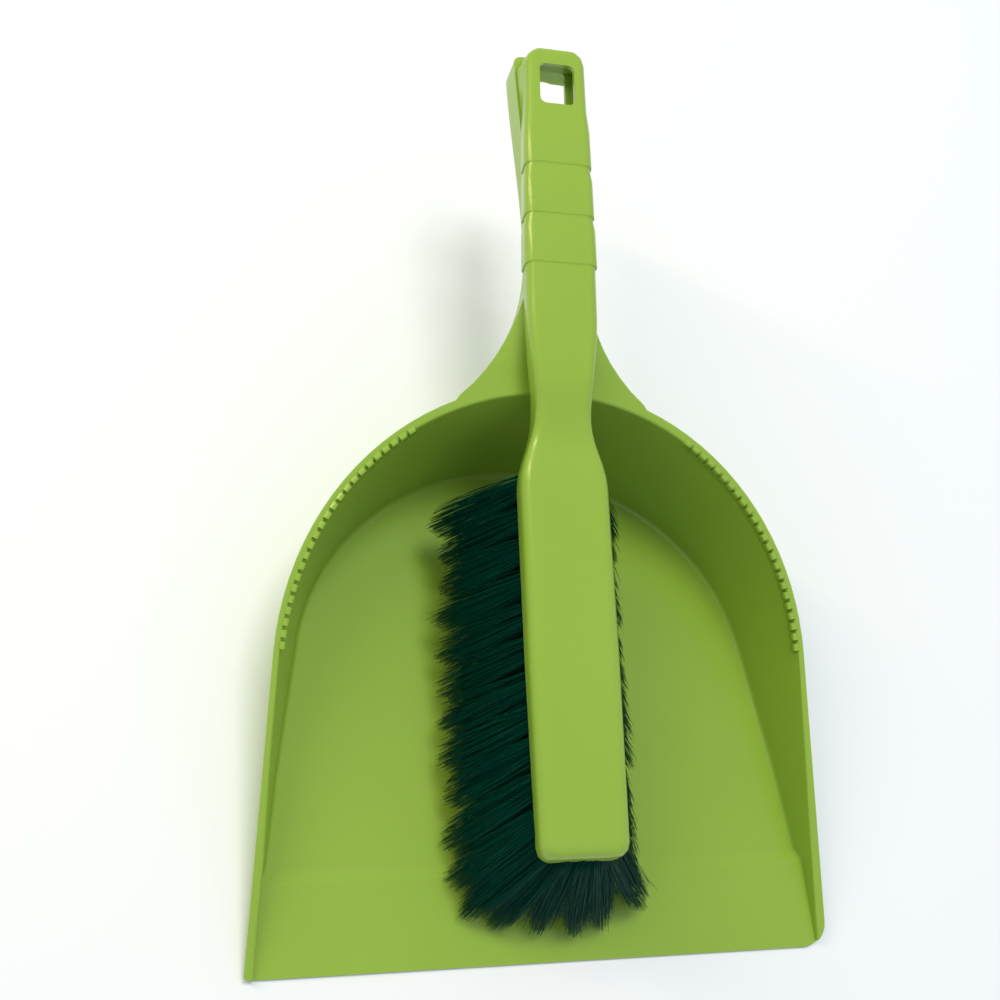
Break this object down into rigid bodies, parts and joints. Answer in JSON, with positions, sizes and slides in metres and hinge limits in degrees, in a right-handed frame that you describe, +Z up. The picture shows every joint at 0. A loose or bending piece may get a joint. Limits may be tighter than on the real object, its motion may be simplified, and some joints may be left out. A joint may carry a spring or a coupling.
{
  "type": "dustpan and brush set",
  "caption": "Handheld dustpan with an arched rim and lip ramp, and a hand brush whose grip clips over the pan's handle, with bristles fanning out to both sides.",
  "frame": {"origin": "centre of the set's bounding box at the level of the pan's flat underside", "axes": "+X across the pan, +Y from the lip towards the handles' ends, +Z up"},
  "size_m": [0.2242, 0.337, 0.1058],
  "materials": {
    "lime_plastic": "glossy moulded polypropylene",
    "bristle": "fine dark green filaments"
  },
  "bodies": {
    "pan": {"dustpan": "lime_plastic"},
    "brush": {"brush_body": "lime_plastic", "tuft_left_outer_01": "bristle", "tuft_left_outer_02": "bristle", "tuft_left_outer_03": "bristle", "tuft_left_outer_04": "bristle", "tuft_left_outer_05": "bristle", "tuft_left_outer_06": "bristle", "tuft_left_outer_07": "bristle", "tuft_left_outer_08": "bristle", "tuft_left_outer_09": "bristle", "tuft_left_outer_10": "bristle", "tuft_left_outer_11": "bristle", "tuft_left_inner_01": "bristle", "tuft_left_inner_02": "bristle", "tuft_left_inner_03": "bristle", "tuft_left_inner_04": "bristle", "tuft_left_inner_05": "bristle", "tuft_left_inner_06": "bristle", "tuft_left_inner_07": "bristle", "tuft_left_inner_08": "bristle", "tuft_left_inner_09": "bristle", "tuft_left_inner_10": "bristle", "tuft_right_inner_01": "bristle", "tuft_right_inner_02": "bristle", "tuft_right_inner_03": "bristle", "tuft_right_inner_04": "bristle", "tuft_right_inner_05": "bristle", "tuft_right_inner_06": "bristle", "tuft_right_inner_07": "bristle", "tuft_right_inner_08": "bristle", "tuft_right_inner_09": "bristle", "tuft_right_inner_10": "bristle", "tuft_right_outer_01": "bristle", "tuft_right_outer_02": "bristle", "tuft_right_outer_03": "bristle", "tuft_right_outer_04": "bristle", "tuft_right_outer_05": "bristle", "tuft_right_outer_06": "bristle", "tuft_right_outer_07": "bristle", "tuft_right_outer_08": "bristle", "tuft_right_outer_09": "bristle", "tuft_right_outer_10": "bristle", "tuft_right_outer_11": "bristle", "tuft_toe_1": "bristle", "tuft_toe_2": "bristle", "tuft_toe_3": "bristle", "tuft_toe_4": "bristle", "tuft_toe_5": "bristle", "tuft_toe_6": "bristle"}
  },
  "joints": [
    {"name": "brush_lift", "type": "slide", "parent": "pan", "child": "brush", "axis": [0, 0, 1], "range_m": [0, 0.12]}
  ]
}
